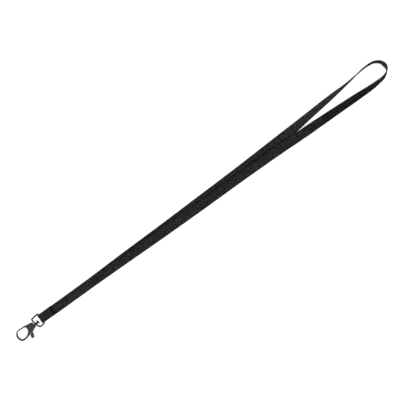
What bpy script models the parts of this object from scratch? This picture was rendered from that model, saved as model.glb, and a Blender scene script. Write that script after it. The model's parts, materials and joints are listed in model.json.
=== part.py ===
"""Flat neck lanyard with a swivelling lobster-claw hook, lying on a surface.

One woven strap makes the neck loop.  Its outgoing end wraps round the bar of the
swivel ring and is sewn back over the returning end.  The ring carries the hook on
a riveted swivel, and a sprung thumb lever closes the hook's eye.

Lengths in this file are millimetres until a mesh or a location is finished.
The strap's own frame has +X from the ring towards the neck loop and +Z up.
The clasp's own frame has +X from the ring's bar towards the hook's tip.
"""
import math

import bmesh
import bpy
from mathutils import Matrix, Vector

MM = 0.001

# ---- neck strap ----
STRAP_WIDTH = 10.0
STRAP_THICK = 0.9
STRAP_EDGE_ROUND = 0.2
LAY_LENGTH = 443.0
LAYER_GAP = 0.1
TAIL_LENGTH = 16.8
INNER_END = 5.2
CLASP_END_RAISE = 0.3
CLASP_END_SIDE = 0.40
FOLD_DRAW_IN = 0.1
FOLD_WIDTH_TO = 4.2
FULL_WIDTH_FROM = 6.2
FOLD_LEVEL_FROM = 7.6
FOLD_EASE = 1.1

# ---- seam ----
THREAD_RADIUS = 0.13
SEAM_FROM_TAIL_END = 1.7
SEAM_ZIGZAG = 1.1
SEAM_PITCH = 0.75
SEAM_EDGE_MARGIN = 0.7

# ---- swivel ring ----
RING_WIRE_RADIUS = 0.66
RING_LENGTH = 8.045
RING_SIDE_CLEARANCE = 0.34
RING_SIDE = -0.3
RING_BAR_CORNER = 1.2
RING_FAR_CORNER = 0.9
RING_SHOULDER_CORNER = 1.5
BAR_TO_STRAP_GAP = 0.12
BAR_SETBACK = 1.26
BOSS_WALL = 0.4
BOSS_INNER_LENGTH = 2.6
BOSS_OUTER_LENGTH = 0.8

# ---- clasp as a whole ----
CLASP_TURN_DEG = 188.9
CLASP_SIDE = 0.256

# ---- swivel rivet ----
RIVET_RADIUS = 0.65
RIVET_HEAD_RADIUS = 2.1
RIVET_HEAD_THICK = 1.5
RIVET_END_GAP = 0.12
RIVET_INTO_BODY = 3.0
RUNNING_CLEARANCE = 0.06
FIXED_CLEARANCE = 0.03

# ---- hook body ----
BODY_THICK = 4.4
BODY_EDGE_BEVEL = 0.55
NECK_RADIUS = 1.5
NECK_GAP = 0.15
ARM_HALF_WIDTH = 0.8
ARM_HALF_THICK = 1.15

# ---- thumb lever ----
PIVOT_FROM_NECK = 5.75
PIVOT_SIDE = -1.6
PIN_RADIUS = 0.55
PIN_RECESS = 0.05
LEVER_HALF_THICK = 0.85
TAB_HALF_THICK = 1.4
TAB_STEP_RADIUS = 6.9
HUB_RADIUS = 1.75
SLOT_SIDE_GAP = 0.13
SLOT_WALL_GAP = 0.25
NOSE_GAP = 0.15

# ---- lever spring ----
SPRING_WIRE_RADIUS = 0.13
SPRING_COIL_RADIUS = 0.98
SPRING_TURNS = 2.0
SPRING_END_GAP = 0.085
SPRING_SEAT_RADIUS = 1.38
SPRING_SEAT_FLOOR = 0.05
SPRING_LEG_LENGTH = 1.45

# ---- values that follow from the ones above ----
HALF_STRAP = STRAP_WIDTH / 2
FOLD_WIDTH = STRAP_WIDTH - FOLD_DRAW_IN
LAYER = STRAP_THICK + LAYER_GAP
CLASP_MID = BODY_THICK / 2
RING_HALF_WIDTH = FOLD_WIDTH / 2 + RING_SIDE_CLEARANCE + RING_WIRE_RADIUS
BAR_CLEAR_RADIUS = RING_WIRE_RADIUS + BAR_TO_STRAP_GAP
BOSS_RADIUS = RIVET_RADIUS + RUNNING_CLEARANCE + BOSS_WALL
BOSS_INNER = RING_LENGTH - BOSS_INNER_LENGTH
BOSS_OUTER = RING_LENGTH + BOSS_OUTER_LENGTH
NECK_START = BOSS_OUTER + NECK_GAP
PIVOT = Vector((NECK_START + PIVOT_FROM_NECK, PIVOT_SIDE, 0))
SLOT_HALF = LEVER_HALF_THICK + SLOT_SIDE_GAP
HUB_CLEAR = HUB_RADIUS + SLOT_WALL_GAP
SPRING_FOOT = SPRING_SEAT_FLOOR + SPRING_WIRE_RADIUS + 0.03
SPRING_TOP = SLOT_HALF - SPRING_END_GAP - SPRING_WIRE_RADIUS

# How the strap lies: distance from the fold, offset to the side, lean of its
# width (0 flat, 90 on edge), extra height above its layer, and its layer.
# The outgoing run comes first, then the turn of the neck loop, then the return.
STRAP_RUN = [
    (12.4, 0.30, 0, 0.3, 0),
    (22.7, 0.10, 0, 0.3, 0),
    (39.0, 0.00, 0, 0.0, 0),
    (62.0, 0.00, 0, 0.0, 0),
    (103.0, 0.67, 0, 0.0, 0),
    (154.5, 1.18, 0, 0.0, 0),
    (206.0, 2.00, 0, 0.0, 0),
    (257.5, 2.94, 0, 0.0, 0),
    (288.0, 3.90, 0, 0.0, 0),
    (309.0, 4.60, 6, 0.0, 0),
    (329.6, 5.50, 24, 0.0, 0),
    (340.0, 6.30, 36, 0.0, 0),
    (360.5, 7.80, 50, 0.0, 0),
    (381.0, 9.20, 65, 0.0, 0),
    (391.4, 9.85, 76, 0.0, 0),
    (401.7, 10.80, 84, 0.0, 0),
    (412.0, 12.05, 90, 0.0, 0),
    (423.5, 12.95, 95, 0.0, 0),
    (433.8, 11.60, 102, 0.0, 0),
    (439.2, 7.40, 110, 0.0, 0),
    (440.7, 2.10, 114, 0.0, 0),
    (439.3, -2.40, 96, 0.0, 0),
    (434.0, -5.90, 80, 0.0, 0),
    (424.0, -7.25, 66, 0.0, 0),
    (412.0, -7.36, 55, 0.0, 0),
    (401.7, -6.90, 47, 0.0, 0),
    (391.4, -6.50, 42, 0.0, 0),
    (381.0, -6.10, 37, 0.0, 0),
    (370.8, -5.70, 32, 0.0, 0),
    (360.5, -5.40, 26, 0.2, 0),
    (350.2, -5.00, 18, 0.6, 0),
    (340.0, -4.75, 8, 1.0, 0),
    (329.6, -4.45, 0, 0.3, 1),
    (309.0, -3.66, 0, 0.3, 1),
    (288.0, -3.10, 0, 0.3, 1),
    (257.5, -2.63, 0, 0.0, 1),
    (206.0, -2.42, 0, 0.0, 1),
    (154.5, -1.80, 0, 0.0, 1),
    (103.0, -0.77, 0, 0.0, 1),
    (62.0, -0.10, 0, 0.0, 1),
    (39.0, 0.00, 0, 0.0, 1),
    (22.7, 0.10, 0, 0.3, 1),
    (12.4, 0.30, 0, 0.3, 1),
]
NOMINAL_LAY = 443.0
STRETCH_OVER = 280.0

# The hook's plate, seen from above, measured from the start of its neck.
BODY_OUTLINE = [
    (0.50, -1.50),
    (0.75, -3.30),
    (1.60, -4.55),
    (3.90, -5.30),
    (6.60, -6.10),
    (7.90, -6.45),
    (8.55, -6.10),
    (8.70, -4.40),
    (8.45, -2.90),
    (8.90, -1.80),
    (9.35, -0.75),
    (10.05, 0.05),
    (10.90, 0.75),
    (11.90, 1.20),
    (12.80, 1.60),
    (12.95, 3.45),
    (11.00, 3.55),
    (8.50, 3.50),
    (6.50, 3.30),
    (4.60, 2.70),
    (3.20, 2.30),
    (1.60, 2.00),
    (0.50, 1.50),
]
# The hook's arm: along and side of its middle line, then a width factor.
ARM_LINE = [
    (10.60, 1.90, 1.00),
    (12.20, 2.30, 1.05),
    (14.40, 2.92, 1.00),
    (15.90, 3.05, 1.00),
    (17.40, 2.98, 1.00),
    (19.20, 2.55, 1.00),
    (20.50, 1.68, 1.00),
    (21.35, 0.36, 1.00),
    (21.72, -1.40, 1.00),
    (21.70, -2.90, 1.00),
    (21.40, -4.30, 0.98),
    (20.35, -5.95, 0.95),
    (18.85, -7.25, 0.92),
    (17.40, -7.88, 0.90),
    (15.80, -7.98, 0.88),
]
NOSE_FACE_AT = (16.85, -7.92)
NOSE_FACE_NORMAL = (-0.54, 0.84)
# The lever from the thumb tab to the gate's tip: along and side of its middle
# line from the pivot, half width, and which half thickness it has there.
LEVER_LINE = [
    (5.20, 9.70, 0.90, "end"),
    (4.90, 9.15, 1.40, "tab"),
    (4.35, 8.20, 1.75, "tab"),
    (3.65, 7.15, 1.80, "tab"),
    (3.00, 6.00, 1.65, "plate"),
    (2.20, 4.40, 1.50, "plate"),
    (1.20, 2.40, 1.50, "plate"),
    (0.25, 0.50, HUB_RADIUS, "plate"),
    (0.10, -0.60, HUB_RADIUS, "plate"),
    (0.80, -2.30, 1.40, "plate"),
    (2.00, -4.00, 1.00, "plate"),
    (3.70, -4.95, 0.78, "plate"),
    (5.50, -5.35, 0.70, "plate"),
    (7.30, -5.80, 0.70, "plate"),
    (9.15, -6.15, 0.70, "plate"),
    (12.20, -6.50, 0.70, "plate"),
]

METAL = ((0.42, 0.42, 0.44), 0.22, 1.0)
DARK_METAL = ((0.30, 0.30, 0.32), 0.28, 1.0)
SPRING_STEEL = ((0.45, 0.46, 0.48), 0.30, 1.0)
WEBBING = ((0.020, 0.020, 0.021), 0.85, 0.0)
THREAD = ((0.010, 0.010, 0.011), 0.75, 0.0)


# ---------------------------------------------------------------- helpers
def clear_scene():
    for obj in list(bpy.data.objects):
        bpy.data.objects.remove(obj, do_unlink=True)


def make_material(name, look):
    colour, roughness, metallic = look
    material = bpy.data.materials.new(name)
    material.use_nodes = True
    shader = material.node_tree.nodes["Principled BSDF"]
    shader.inputs["Base Color"].default_value = (*colour, 1)
    shader.inputs["Roughness"].default_value = roughness
    shader.inputs["Metallic"].default_value = metallic
    return material


def add_empty(name, location, turn_deg=0.0, parent=None):
    empty = bpy.data.objects.new(name, None)
    bpy.context.scene.collection.objects.link(empty)
    empty.empty_display_size = 5 * MM
    empty.location = Vector(location) * MM
    empty.rotation_euler = (0, 0, math.radians(turn_deg))
    empty.parent = parent
    return empty


def add_object(name, bm, look=None, parent=None, location=(0, 0, 0)):
    """Finish a mesh made in millimetres as an object in metres."""
    bmesh.ops.recalc_face_normals(bm, faces=bm.faces)
    bmesh.ops.scale(bm, vec=(MM, MM, MM), verts=bm.verts)
    mesh = bpy.data.meshes.new(name)
    bm.to_mesh(mesh)
    bm.free()
    obj = bpy.data.objects.new(name, mesh)
    bpy.context.scene.collection.objects.link(obj)
    obj.location = Vector(location) * MM
    obj.parent = parent
    if look:
        mesh.materials.append(make_material(name, look))
        mesh.shade_smooth()
        mesh.set_sharp_from_angle(angle=math.radians(35))
    else:
        obj.hide_render = True
        obj.display_type = "WIRE"
    return obj


def add_boolean(obj, tool, operation):
    modifier = obj.modifiers.new(tool.name, "BOOLEAN")
    modifier.operation = operation
    modifier.solver = "EXACT"
    modifier.object = tool


def loft(rings, closed=False):
    """Join rings of points into one skin, with flat ends unless it closes."""
    bm = bmesh.new()
    loops = [[bm.verts.new(p) for p in ring] for ring in rings]
    count = len(loops[0])
    spans = len(loops) if closed else len(loops) - 1
    for i in range(spans):
        a = loops[i]
        b = loops[(i + 1) % len(loops)]
        for j in range(count):
            k = (j + 1) % count
            bm.faces.new((a[j], a[k], b[k], b[j]))
    if not closed:
        bm.faces.new(loops[0])
        bm.faces.new(list(reversed(loops[-1])))
    return bm


def section(half_wide, half_high, sides, squareness=2.0):
    """Points of a rounded section; a higher squareness is boxier."""
    points = []
    for i in range(sides):
        angle = 2 * math.pi * (i + 0.5) / sides
        c = math.cos(angle)
        s = math.sin(angle)
        power = 2 / squareness
        x = math.copysign(abs(c) ** power, c) * half_wide
        y = math.copysign(abs(s) ** power, s) * half_high
        points.append((x, y))
    return points


def sweep_rings(points, sizes, sides, squareness=2.0, closed=False):
    """Sections square to a line; sizes are the half width and half height."""
    rings = []
    last = len(points) - 1
    up = Vector((0, 0, 1))
    for i, point in enumerate(points):
        if closed:
            tangent = points[(i + 1) % len(points)] - points[i - 1]
        else:
            tangent = points[min(i + 1, last)] - points[max(i - 1, 0)]
        tangent.normalize()
        side = up.cross(tangent).normalized()
        over = tangent.cross(side)
        wide, high = sizes[i]
        ring = section(wide, high, sides, squareness)
        rings.append([point + side * x + over * y for x, y in ring])
    return rings


def turned(profile, axis, sides=24):
    """A turned piece: profile of distance and radius along X or Z."""
    rings = []
    for distance, radius in profile:
        ring = []
        for x, y in section(radius, radius, sides):
            if axis == "X":
                ring.append(Vector((distance, x, y)))
            else:
                ring.append(Vector((x, y, distance)))
        rings.append(ring)
    return loft(rings)


def prism(outline, low, high):
    """An upright solid over a closed outline."""
    bm = bmesh.new()
    base = bm.faces.new([bm.verts.new((x, y, low)) for x, y in outline])
    grown = bmesh.ops.extrude_face_region(bm, geom=[base])
    top = [e for e in grown["geom"] if isinstance(e, bmesh.types.BMVert)]
    bmesh.ops.translate(bm, vec=(0, 0, high - low), verts=top)
    return bm


def smooth_line(rows, step, turn_deg=12.0):
    """A smooth curve through rows of numbers, the first two being X and Y."""
    count = len(rows)
    width = len(rows[0])
    gaps = []
    for a, b in zip(rows, rows[1:]):
        gaps.append(math.hypot(b[0] - a[0], b[1] - a[1]))
    slopes = []
    for i in range(count):
        before = max(i - 1, 0)
        after = min(i, count - 2)
        row = []
        for k in range(width):
            left = (rows[before + 1][k] - rows[before][k]) / gaps[before]
            right = (rows[after + 1][k] - rows[after][k]) / gaps[after]
            near = gaps[after] * left + gaps[before] * right
            row.append(near / (gaps[before] + gaps[after]))
        slopes.append(row)
    out = [list(rows[0])]
    for i in range(count - 1):
        gap = gaps[i]
        start = math.atan2(slopes[i][1], slopes[i][0])
        end = math.atan2(slopes[i + 1][1], slopes[i + 1][0])
        turn = abs(math.degrees((end - start + math.pi) % (2 * math.pi) - math.pi))
        parts = max(1, math.ceil(gap / step), math.ceil(turn / turn_deg))
        for j in range(1, parts + 1):
            t = j / parts
            row = []
            for k in range(width):
                value = (2 * t**3 - 3 * t**2 + 1) * rows[i][k]
                value += (t**3 - 2 * t**2 + t) * gap * slopes[i][k]
                value += (3 * t**2 - 2 * t**3) * rows[i + 1][k]
                value += (t**3 - t**2) * gap * slopes[i + 1][k]
                row.append(value)
            out.append(row)
    return out


# ---------------------------------------------------------------- strap
def fold_line():
    """Middle line of the strap's end: tail, round the bar, start of the run."""
    upper = CLASP_MID + BAR_CLEAR_RADIUS + STRAP_THICK / 2
    lower = CLASP_END_RAISE + STRAP_THICK / 2
    tail = CLASP_END_RAISE + 2 * LAYER + STRAP_THICK / 2
    radius = (upper - lower) / 2
    centre = Vector((BAR_SETBACK, 0, (upper + lower) / 2))
    bar_reach = BAR_SETBACK + BAR_CLEAR_RADIUS + FOLD_EASE
    level = FOLD_LEVEL_FROM
    points = [(level + (TAIL_LENGTH - level) * t, tail) for t in (1, 0.5, 0.15, 0)]
    blend = 6
    for i in range(1, blend):
        t = i / blend
        rise = t * t * (3 - 2 * t)
        x = level + (bar_reach - level) * t
        points.append((x, tail + (upper - tail) * rise))
    points.append((bar_reach, upper))
    steps = 12
    for i in range(steps + 1):
        angle = math.pi / 2 + math.pi * i / steps
        x = centre.x + radius * math.cos(angle)
        points.append((x, centre.z + radius * math.sin(angle)))
    points += [(FOLD_WIDTH_TO, lower), (FULL_WIDTH_FROM, lower)]
    return [Vector((x, CLASP_END_SIDE, z)) for x, z in points]


def run_height(lean, lift):
    """Height of the strap's middle when its lower edge rests at the lift."""
    rise = HALF_STRAP * abs(math.sin(lean))
    return lift + rise + STRAP_THICK / 2 * abs(math.cos(lean))


def stretched(along):
    extra = LAY_LENGTH - NOMINAL_LAY
    return along + extra * min(along / STRETCH_OVER, 1.0)


def run_stations():
    """Middle points of the run and its lean, eased between the rows."""
    rows = []
    for along, side, lean, raised, layer in STRAP_RUN:
        rows.append((stretched(along), side, lean, raised + layer * LAYER))
    rows.append((INNER_END, CLASP_END_SIDE, 0, CLASP_END_RAISE + LAYER))
    line = smooth_line(rows, step=9.0, turn_deg=9.0)
    points = []
    leans = []
    for x, y, lean_deg, lift in line:
        lean = math.radians(max(lean_deg, 0.0))
        if lean_deg < 0.5:
            lean = 0.0
        lift = max(lift, 0.0)
        points.append(Vector((x, y, run_height(lean, lift))))
        leans.append(lean)
    return points, leans


def fold_half_width(x):
    """Half width near the ring, where the strap is drawn in to pass it."""
    t = (x - FOLD_WIDTH_TO) / (FULL_WIDTH_FROM - FOLD_WIDTH_TO)
    t = min(max(t, 0.0), 1.0)
    ease = t * t * (3 - 2 * t)
    return FOLD_WIDTH / 2 + (HALF_STRAP - FOLD_WIDTH / 2) * ease


def strap_section(half_wide):
    half_thick = STRAP_THICK / 2
    soft = STRAP_EDGE_ROUND
    return [
        (half_wide, half_thick - soft),
        (half_wide - 2 * soft, half_thick),
        (-half_wide + 2 * soft, half_thick),
        (-half_wide, half_thick - soft),
        (-half_wide, -half_thick + soft),
        (-half_wide + 2 * soft, -half_thick),
        (half_wide - 2 * soft, -half_thick),
        (half_wide, -half_thick + soft),
    ]


def strap_rings():
    fold = fold_line()
    run, leans = run_stations()
    points = fold + run
    rings = []
    last = len(points) - 1
    for i, point in enumerate(points):
        tangent = points[min(i + 1, last)] - points[max(i - 1, 0)]
        tangent.normalize()
        if i < len(fold) - 1:
            wide = Vector((0, 1, 0))
        else:
            level = Vector((-tangent.y, tangent.x, 0)).normalized()
            lean = leans[max(i - len(fold), 0)]
            wide = level * math.cos(lean) + Vector((0, 0, math.sin(lean)))
        wide = (wide - tangent * wide.dot(tangent)).normalized()
        normal = tangent.cross(wide)
        outline = strap_section(fold_half_width(point.x))
        rings.append([point + wide * a + normal * b for a, b in outline])
    return rings


def build_strap(parent):
    return add_object("neck_strap", loft(strap_rings()), WEBBING, parent)


def build_seam(name, height, parent):
    """One row of thread, zigzagging across the strap at the given height."""
    middle = TAIL_LENGTH - SEAM_FROM_TAIL_END
    reach = HALF_STRAP - SEAM_EDGE_MARGIN
    turns = math.ceil(2 * reach / SEAM_PITCH)
    points = []
    for i in range(turns + 1):
        y = CLASP_END_SIDE - reach + 2 * reach * i / turns
        x = middle + SEAM_ZIGZAG / 2 * (-1) ** i
        points.append(Vector((x, y, height)))
    sizes = [(THREAD_RADIUS, THREAD_RADIUS)] * len(points)
    rings = sweep_rings(points, sizes, 8)
    return add_object(name, loft(rings), THREAD, parent)


# ---------------------------------------------------------------- ring
def ring_corners():
    """Corners of the wire's middle line: the bar, square to the strap, then the
    two arms and the far side, which stands out where the boss is."""
    near = RING_HALF_WIDTH
    skew = math.tan(math.radians(CLASP_TURN_DEG - 180))
    left = RING_SIDE - near
    right = RING_SIDE + near
    return [
        (skew * left, left, RING_BAR_CORNER),
        (skew * right, right, RING_BAR_CORNER),
        (RING_LENGTH - 1.4, near - 0.85, RING_FAR_CORNER),
        (RING_LENGTH - 0.45, 2.6, RING_SHOULDER_CORNER),
        (RING_LENGTH + 0.25, -3.6, RING_SHOULDER_CORNER),
        (RING_LENGTH - 0.45, -near - 0.65, RING_FAR_CORNER),
    ]


def rounded_line(corners, steps=6):
    """Closed line that turns each corner in an arc of the corner's radius."""
    places = [Vector((x, y, 0)) for x, y, radius in corners]
    points = []
    for i, corner in enumerate(places):
        radius = corners[i][2]
        before = (places[i - 1] - corner).normalized()
        after = (places[(i + 1) % len(places)] - corner).normalized()
        half = before.angle(after) / 2
        centre = corner + (before + after).normalized() * (radius / math.sin(half))
        start = corner + before * (radius / math.tan(half)) - centre
        turn = math.copysign(math.pi - 2 * half, -before.cross(after).z)
        for j in range(steps + 1):
            points.append(centre + Matrix.Rotation(turn * j / steps, 3, "Z") @ start)
    return points


def build_ring(parent):
    points = rounded_line(ring_corners())
    sizes = [(RING_WIRE_RADIUS, RING_WIRE_RADIUS)] * len(points)
    bm = loft(sweep_rings(points, sizes, 12, closed=True), closed=True)
    ring = add_object("swivel_ring", bm, METAL, parent)
    boss = turned([(BOSS_INNER, BOSS_RADIUS), (BOSS_OUTER, BOSS_RADIUS)], "X")
    add_boolean(ring, add_object("ring_boss_tool", boss, parent=parent), "UNION")
    bore_radius = RIVET_RADIUS + RUNNING_CLEARANCE
    bore = turned([(BOSS_INNER - 2, bore_radius), (BOSS_OUTER + 2, bore_radius)], "X")
    add_boolean(ring, add_object("ring_bore_tool", bore, parent=parent), "DIFFERENCE")
    return ring


# ---------------------------------------------------------------- rivet
def build_rivet(parent):
    """Headed swivel rivet; its shank ends inside the hook's neck."""
    seat = BOSS_INNER - RIVET_END_GAP
    face = seat - RIVET_HEAD_THICK
    end = NECK_START + RIVET_INTO_BODY
    profile = [
        (face, RIVET_HEAD_RADIUS * 0.55),
        (face + 0.16 * RIVET_HEAD_THICK, RIVET_HEAD_RADIUS * 0.82),
        (face + 0.45 * RIVET_HEAD_THICK, RIVET_HEAD_RADIUS * 0.97),
        (face + 0.65 * RIVET_HEAD_THICK, RIVET_HEAD_RADIUS),
        (seat - 0.08, RIVET_HEAD_RADIUS),
        (seat, RIVET_HEAD_RADIUS - 0.1),
        (seat + 0.001, RIVET_RADIUS),
        (end - 0.15, RIVET_RADIUS),
        (end, RIVET_RADIUS - 0.15),
    ]
    return add_object("swivel_rivet", turned(profile, "X"), METAL, parent)


# ---------------------------------------------------------------- hook body
def from_neck(x, y):
    return (NECK_START + x, y)


def arm_bmesh():
    rows = []
    for x, y, factor in ARM_LINE:
        px, py = from_neck(x, y)
        rows.append((px, py, factor))
    line = smooth_line(rows, step=1.2, turn_deg=9.0)
    points = [Vector((x, y, 0)) for x, y, f in line]
    sizes = [(ARM_HALF_WIDTH * f, ARM_HALF_THICK * f) for x, y, f in line]
    return loft(sweep_rings(points, sizes, 14, squareness=2.4))


def nose_cutter(side):
    """Half space on one side of the sloping face between nose and gate."""
    x, y = from_neck(*NOSE_FACE_AT)
    angle = math.atan2(NOSE_FACE_NORMAL[1], NOSE_FACE_NORMAL[0])
    reach = 3.2
    bm = bmesh.new()
    bmesh.ops.create_cube(bm, size=2 * reach)
    shift = (reach - NOSE_GAP / 2) * side
    bmesh.ops.translate(bm, vec=(shift, 0, 0), verts=bm.verts)
    turn = Matrix.Translation((x, y, 0)) @ Matrix.Rotation(angle, 4, "Z")
    bmesh.ops.transform(bm, matrix=turn, verts=bm.verts)
    return bm


def slot_outline():
    """Room for the lever, open to the eye, the gate side and the thumb side."""
    px, py = PIVOT.x, PIVOT.y
    wall = px - HUB_CLEAR
    points = [(wall, py + 9.0), (wall, py)]
    for angle in (198, 212):
        a = math.radians(angle)
        points.append((px + HUB_CLEAR * math.cos(a), py + HUB_CLEAR * math.sin(a)))
    outside = [
        (-1.62, -1.90),
        (-1.00, -3.20),
        (0.40, -4.95),
        (1.00, -7.50),
        (8.00, -7.50),
        (8.00, -0.50),
        (3.90, 0.00),
        (2.50, 0.90),
        (2.85, 1.75),
        (3.85, 3.75),
        (4.75, 5.25),
        (5.60, 6.70),
        (5.60, 9.00),
    ]
    points.extend((px + x, py + y) for x, y in outside)
    return points


def build_hook(parent):
    half = BODY_THICK / 2
    bm = prism([from_neck(x, y) for x, y in BODY_OUTLINE], -half, half)
    rim = [e for e in bm.edges if e.verts[0].co.z == e.verts[1].co.z]
    bmesh.ops.bevel(
        bm, geom=rim, offset=BODY_EDGE_BEVEL, segments=2, profile=0.5,
        affect="EDGES", material=-1, clamp_overlap=True,
    )
    hook = add_object("hook_body", bm, DARK_METAL, parent)
    neck = turned([(NECK_START, NECK_RADIUS), (NECK_START + 2.6, NECK_RADIUS)], "X")
    add_boolean(hook, add_object("hook_neck_tool", neck, parent=parent), "UNION")
    arm = add_object("hook_arm_tool", arm_bmesh(), parent=parent)
    add_boolean(hook, arm, "UNION")
    nose = add_object("nose_cut_tool", nose_cutter(1), parent=parent)
    add_boolean(hook, nose, "DIFFERENCE")
    slot = prism(slot_outline(), -SLOT_HALF, SLOT_HALF)
    add_boolean(hook, add_object("slot_tool", slot, parent=parent), "DIFFERENCE")
    hole_radius = PIN_RADIUS + FIXED_CLEARANCE
    hole = turned([(-half - 1, hole_radius), (half + 1, hole_radius)], "Z")
    hole_tool = add_object("pin_hole_tool", hole, parent=parent, location=PIVOT)
    add_boolean(hook, hole_tool, "DIFFERENCE")
    bore_radius = RIVET_RADIUS + FIXED_CLEARANCE
    bore_end = NECK_START + RIVET_INTO_BODY + RIVET_END_GAP
    bore = turned([(NECK_START - 1, bore_radius), (bore_end, bore_radius)], "X")
    add_boolean(hook, add_object("neck_bore_tool", bore, parent=parent), "DIFFERENCE")
    return hook, arm


def build_pin(parent):
    reach = BODY_THICK / 2 - PIN_RECESS
    soft = 0.1
    profile = [
        (-reach, PIN_RADIUS - soft),
        (-reach + soft, PIN_RADIUS),
        (reach - soft, PIN_RADIUS),
        (reach, PIN_RADIUS - soft),
    ]
    return add_object("pivot_pin", turned(profile, "Z", 20), METAL, parent)


# ---------------------------------------------------------------- lever
def lever_bmesh():
    heights = {
        "end": TAB_HALF_THICK * 0.7,
        "tab": TAB_HALF_THICK,
        "plate": LEVER_HALF_THICK,
    }
    rows = [(x, y, wide, heights[kind]) for x, y, wide, kind in LEVER_LINE]
    line = smooth_line(rows, step=0.9, turn_deg=12.0)
    points = [Vector((x, y, 0)) for x, y, wide, high in line]
    sizes = []
    for x, y, wide, high in line:
        inside = math.hypot(x, y) < TAB_STEP_RADIUS
        sizes.append((wide, min(high, LEVER_HALF_THICK) if inside else high))
    return loft(sweep_rings(points, sizes, 16, squareness=4.0))


def build_lever(parent):
    """Gate, hub and thumb tab in one piece, with a seat for the spring."""
    lever = add_object("trigger_lever", lever_bmesh(), METAL, parent)
    gate = nose_cutter(-1)
    bmesh.ops.translate(gate, vec=-PIVOT, verts=gate.verts)
    add_boolean(lever, add_object("gate_cut_tool", gate, parent=parent), "DIFFERENCE")
    hole_radius = PIN_RADIUS + RUNNING_CLEARANCE
    hole = turned([(-3, hole_radius), (3, hole_radius)], "Z")
    add_boolean(lever, add_object("lever_hole_tool", hole, parent=parent), "DIFFERENCE")
    seat = turned([(SPRING_SEAT_FLOOR, SPRING_SEAT_RADIUS), (3, SPRING_SEAT_RADIUS)], "Z")
    add_boolean(lever, add_object("spring_seat_tool", seat, parent=parent), "DIFFERENCE")
    rest = [(-4, -2.6), (0.0, -2.6), (0.0, 1.6), (-4, 1.6)]
    room = prism(rest, SPRING_SEAT_FLOOR + 0.35, 3)
    add_boolean(lever, add_object("spring_room_tool", room, parent=parent), "DIFFERENCE")
    half = SPRING_WIRE_RADIUS + 0.09
    groove = prism([(0.5, -half), (2.25, -half), (2.25, half), (0.5, half)],
                   SPRING_SEAT_FLOOR, 3)
    bmesh.ops.rotate(groove, matrix=Matrix.Rotation(leg_angle(), 3, "Z"),
                     verts=groove.verts)
    add_boolean(lever, add_object("spring_leg_tool", groove, parent=parent), "DIFFERENCE")
    return lever


def leg_angle():
    return math.radians(62)


def build_spring(parent):
    """Torsion coil round the pin: one leg in the lever, one on the hook."""
    low = SPRING_FOOT
    start = leg_angle()
    points = []
    foot = SPRING_COIL_RADIUS + SPRING_LEG_LENGTH * 0.62
    points.append(Vector((foot * math.cos(start), foot * math.sin(start), low)))
    inner = SPRING_COIL_RADIUS + 0.25
    points.append(Vector((inner * math.cos(start), inner * math.sin(start), low)))
    steps = int(16 * SPRING_TURNS)
    sweep = 2 * math.pi * SPRING_TURNS + math.radians(75)
    for i in range(1, steps + 1):
        t = i / steps
        angle = start + 0.2 + (sweep - 0.2) * t
        radius = SPRING_COIL_RADIUS
        height = low + (SPRING_TOP - low) * t
        points.append(Vector((radius * math.cos(angle), radius * math.sin(angle), height)))
    end = start + sweep
    top = points[-1].z
    along = Vector((-math.sin(end), math.cos(end), 0))
    points.append(points[-1] + along * 0.5)
    points.append(points[-1] + along * 0.55)
    points[-1].z = top
    sizes = [(SPRING_WIRE_RADIUS, SPRING_WIRE_RADIUS)] * len(points)
    rings = sweep_rings(points, sizes, 8)
    return add_object("gate_spring", loft(rings), SPRING_STEEL, parent)


# ---------------------------------------------------------------- assembly
def centre_on_origin(root, objects):
    """Move the whole part so its box stands centred on the origin."""
    bpy.context.view_layer.update()
    corners = []
    for obj in objects:
        corners.extend(obj.matrix_world @ v.co for v in obj.data.vertices)
    xs = [c.x for c in corners]
    ys = [c.y for c in corners]
    root.location = (-(min(xs) + max(xs)) / 2, -(min(ys) + max(ys)) / 2, 0)
    bpy.context.view_layer.update()


def main():
    clear_scene()
    root = add_empty("lanyard", (0, 0, 0))
    strap = build_strap(root)
    above = CLASP_END_RAISE + 2 * LAYER + STRAP_THICK + THREAD_RADIUS + 0.02
    below = CLASP_END_RAISE - THREAD_RADIUS - 0.02
    build_seam("seam_needle_thread", above, root)
    build_seam("seam_bobbin_thread", below, root)

    bar = (BAR_SETBACK, CLASP_SIDE, CLASP_MID)
    ring_axis = add_empty("ring_bar_axis", bar, CLASP_TURN_DEG, root)
    build_ring(ring_axis)
    swivel_axis = add_empty("swivel_axis", (0, 0, 0), 0, ring_axis)
    hook, arm = build_hook(swivel_axis)
    build_rivet(swivel_axis)
    trigger_axis = add_empty("trigger_axis", PIVOT, 0, swivel_axis)
    build_pin(trigger_axis)
    lever = build_lever(trigger_axis)
    build_spring(trigger_axis)
    centre_on_origin(root, [strap, hook, arm, lever])


main()
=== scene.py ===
"""Woven neck lanyard with a swivelling lobster-claw hook, as a Blender add-on.

Lengths are millimetres inside the modelling functions and metres in the scene.
The strap's own frame has +X from the ring towards the neck loop and +Z up.
The clasp's own frame has +X from the ring's bar towards the hook's tip.
"""
import json
import math

import bmesh
import bpy
from bpy.props import (
    FloatProperty,
    FloatVectorProperty,
    IntProperty,
    PointerProperty,
)
from mathutils import Matrix, Vector, noise
from mathutils.bvhtree import BVHTree


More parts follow.
